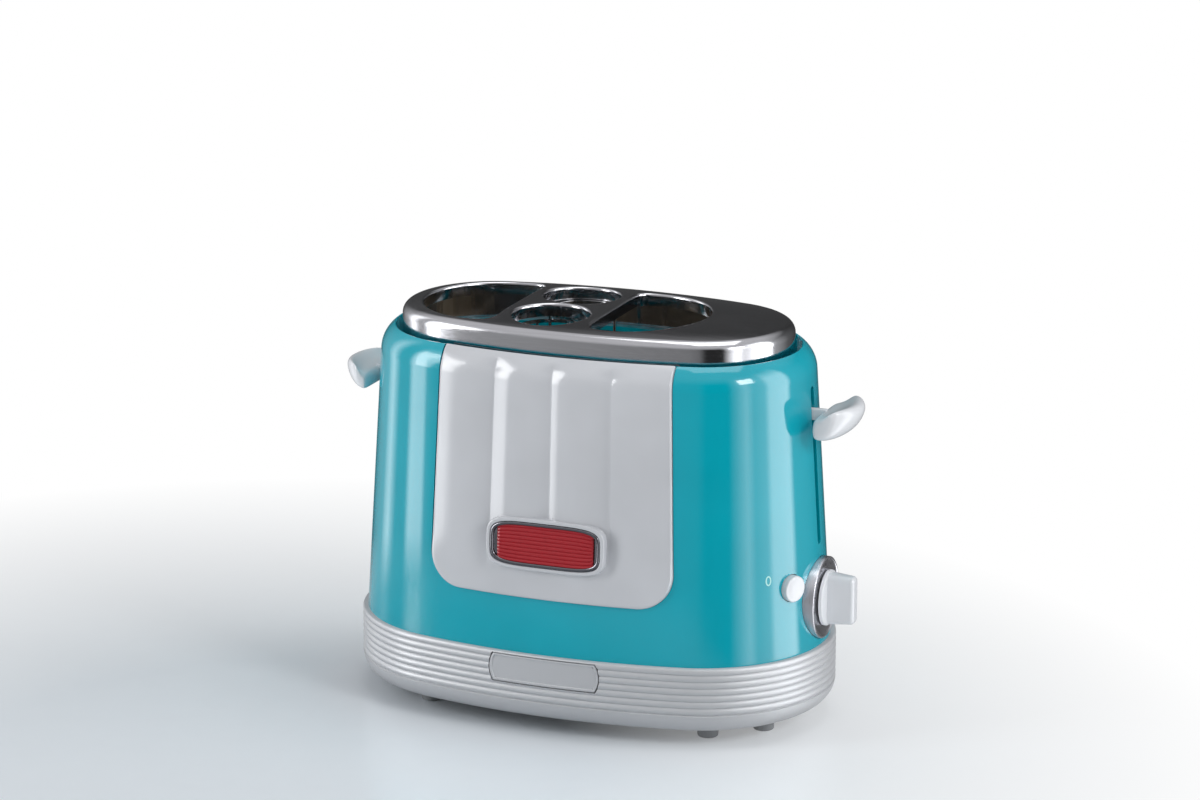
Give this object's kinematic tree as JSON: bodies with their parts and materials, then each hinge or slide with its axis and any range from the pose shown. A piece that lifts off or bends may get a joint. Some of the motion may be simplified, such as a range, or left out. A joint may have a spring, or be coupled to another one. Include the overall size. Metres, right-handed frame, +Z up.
{
  "type": "hot dog toaster",
  "caption": "Pop-up toaster that cooks hot dogs and their buns, with a lift lever at each end, a timer dial, a stop button and a pull-out crumb tray",
  "frame": {"origin": "on the table, under the middle of the shell", "axes": "+X points to the end with the timer dial, -Y to the fluted front panel, +Z up"},
  "size_m": [0.298, 0.1594, 0.2175],
  "materials": {
    "shell_plastic": "glossy turquoise moulded plastic",
    "panel_plastic": "glossy pale grey moulded plastic",
    "silver_paint": "satin silver paint",
    "badge_chrome": "dark chrome",
    "badge_red": "glossy red",
    "white_plastic": "glossy white moulded plastic",
    "polished_steel": "polished stainless steel",
    "foot_rubber": "grey rubber",
    "zinc_steel": "plain plated sheet",
    "mica": "pressed mica sheet",
    "heater_wire": "dark resistance strip",
    "bright_wire": "bright drawn wire",
    "dark_plastic": "black moulded plastic",
    "copper_coil": "enamelled copper winding",
    "board": "green solder mask"
  },
  "bodies": {
    "body": {"outer_shell": "shell_plastic", "front_panel": "panel_plastic", "badge_bezel": "badge_chrome", "badge_plate": "badge_red", "base_skirt": "silver_paint", "name_plate": "silver_paint", "bottom_plate": "zinc_steel", "feet": "foot_rubber", "base_screws": "zinc_steel", "posts": "zinc_steel", "deck_plate": "zinc_steel", "tray_runners": "zinc_steel", "steel_top": "polished_steel", "left_end_plate": "zinc_steel", "right_end_plate": "zinc_steel", "front_heat_shield": "zinc_steel", "rear_heat_shield": "zinc_steel", "mica_cards": "mica", "heater_wires": "heater_wire", "bun_guards": "bright_wire", "sausage_guides": "bright_wire", "bun_guide_rods": "bright_wire", "bun_springs": "bright_wire", "bun_rod_bridge": "zinc_steel", "sausage_guide_rods": "bright_wire", "sausage_springs": "bright_wire", "sausage_rod_bridge": "zinc_steel", "electromagnet": "copper_coil", "circuit_board": "board", "timer": "dark_plastic", "dial_plate": "silver_paint", "stop_switch": "dark_plastic", "terminal_block": "dark_plastic", "cord_gland": "dark_plastic"},
    "bun_lift": {"bun_carriage": "zinc_steel", "bun_slider": "dark_plastic", "bun_lever": "white_plastic", "armature": "zinc_steel"},
    "sausage_lift": {"sausage_carriage": "zinc_steel", "sausage_slider": "dark_plastic", "sausage_lever": "white_plastic"},
    "timer_dial": {"timer_shaft": "bright_wire", "timer_knob": "white_plastic"},
    "stop_key": {"stop_button": "white_plastic"},
    "tray": {"crumb_tray": "silver_paint"}
  },
  "joints": [
    {"name": "bun_lift_slide", "type": "slide", "parent": "body", "child": "bun_lift", "axis": [0, 0, 1], "range_m": [-0.066, 0.01], "deforming": ["bun_springs"]},
    {"name": "sausage_lift_slide", "type": "slide", "parent": "body", "child": "sausage_lift", "axis": [0, 0, 1], "range_m": [-0.066, 0.01], "deforming": ["sausage_springs"]},
    {"name": "timer_turn", "type": "hinge", "parent": "body", "child": "timer_dial", "pos_m": [0.12, 0, 0.07], "axis": [1, 0, 0], "range_deg": [-135, 135]},
    {"name": "stop_press", "type": "slide", "parent": "body", "child": "stop_key", "axis": [-0.9041, 0.4274, 0], "range_m": [0, 0.002], "stiffness_N_per_m": 600},
    {"name": "tray_slide", "type": "slide", "parent": "body", "child": "tray", "axis": [0, 1, 0], "range_m": [0, 0.095]}
  ]
}
